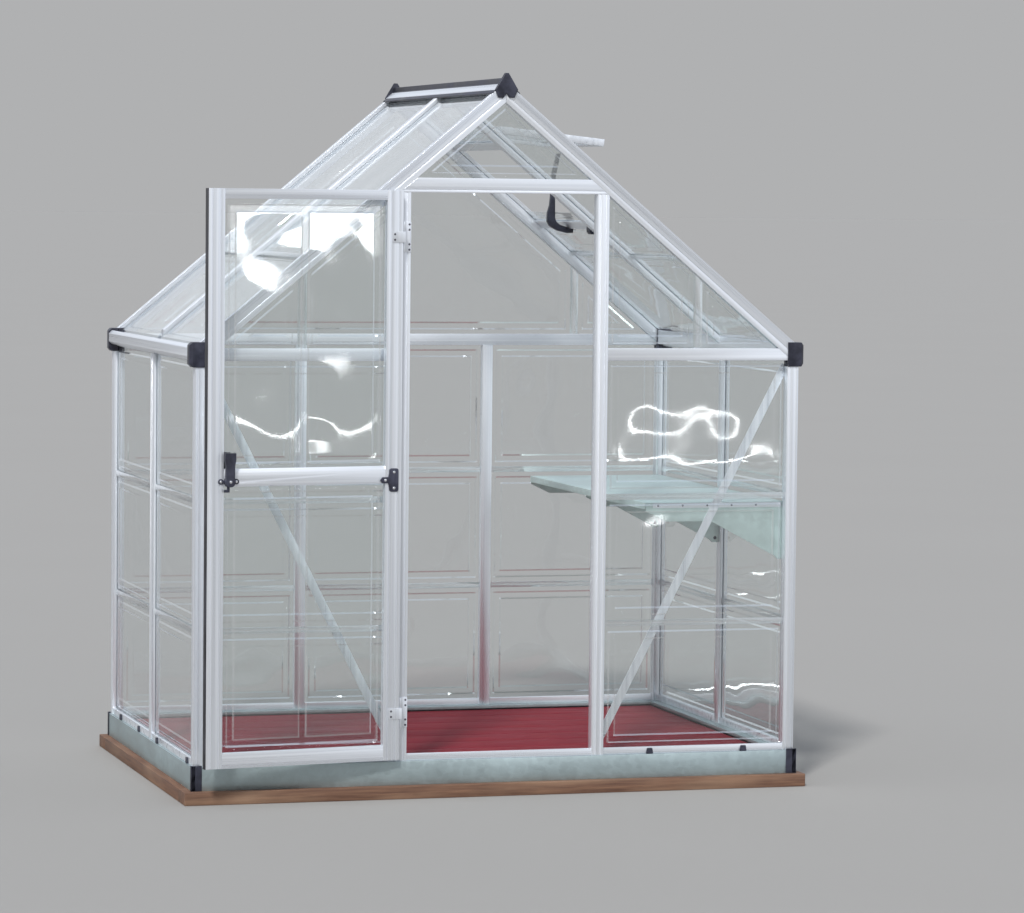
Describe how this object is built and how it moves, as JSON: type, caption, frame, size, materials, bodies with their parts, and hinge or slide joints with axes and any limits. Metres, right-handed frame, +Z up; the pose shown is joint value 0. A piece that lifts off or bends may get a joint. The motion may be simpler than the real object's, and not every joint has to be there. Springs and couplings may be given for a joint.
{
  "type": "polycarbonate greenhouse",
  "caption": "Small free-standing garden greenhouse: clear sheets in a slim metal frame, pitched roof, open hinged door, propped roof vent, inner shelf.",
  "frame": {"origin": "plan centre of the greenhouse, on the underside of the floor bearers and the timber sill", "axes": "+Z up, -Y out of the door side, +X to the right seen from the door side"},
  "size_m": [1.894, 1.4251, 2.1135],
  "materials": {
    "aluminium": "mill, long fine lines",
    "clear_sheet": "clear, glossy",
    "black_plastic": "moulded",
    "galvanised_steel": "zinc coated",
    "timber": "stained",
    "red_boards": "painted",
    "rubber": "extruded"
  },
  "bodies": {
    "frame": {"corner_posts": "aluminium", "side_posts": "aluminium", "back_posts": "aluminium", "door_jambs": "aluminium", "lintel": "aluminium", "eave_rails": "aluminium", "bottom_rails": "aluminium", "front_joiners": "aluminium", "back_joiners": "aluminium", "left_joiners": "aluminium", "right_joiners": "aluminium", "gutter_left": "aluminium", "gutter_right": "aluminium", "front_rafters": "aluminium", "back_rafters": "aluminium", "mid_rafters": "aluminium", "ridge_beam": "aluminium", "left_roof_joiners": "aluminium", "right_roof_joiners": "aluminium", "vent_surround": "aluminium", "vent_hinge_strip": "aluminium", "vent_frame": "aluminium", "diagonal_braces": "aluminium", "jamb_hinge_plates": "aluminium", "front_wall_panels": "clear_sheet", "back_wall_panels": "clear_sheet", "left_wall_panels": "clear_sheet", "right_wall_panels": "clear_sheet", "front_gable_panels": "clear_sheet", "back_gable_panels": "clear_sheet", "gable_joiners": "clear_sheet", "left_roof_panels": "clear_sheet", "right_roof_panels": "clear_sheet", "vent_panel": "clear_sheet", "base_corner_caps": "black_plastic", "eave_corner_caps": "black_plastic", "ridge_cover": "black_plastic", "ridge_end_caps": "black_plastic", "vent_stay": "black_plastic", "base_ends": "galvanised_steel", "base_sides": "galvanised_steel", "shelf": "galvanised_steel", "shelf_brackets": "galvanised_steel", "timber_sill_ends": "timber", "timber_sill_sides": "timber", "floor_bearers": "timber", "floor_boards": "red_boards"},
    "door": {"door_stiles": "aluminium", "door_rails": "aluminium", "door_panels": "clear_sheet", "door_seal": "rubber", "door_hinges": "aluminium", "door_fittings": "black_plastic"},
    "handle": {"door_handle": "black_plastic"}
  },
  "joints": [
    {"name": "door_swing", "type": "hinge", "parent": "frame", "child": "door", "pos_m": [-0.309, -0.651, 0.9], "axis": [0, 0, 1], "range_deg": [0, 171.5]},
    {"name": "handle_turn", "type": "hinge", "parent": "door", "child": "handle", "pos_m": [-0.84406, -0.73096, 0.93748], "axis": [-0.1478, 0.989, 0], "range_deg": [0, 90]}
  ]
}
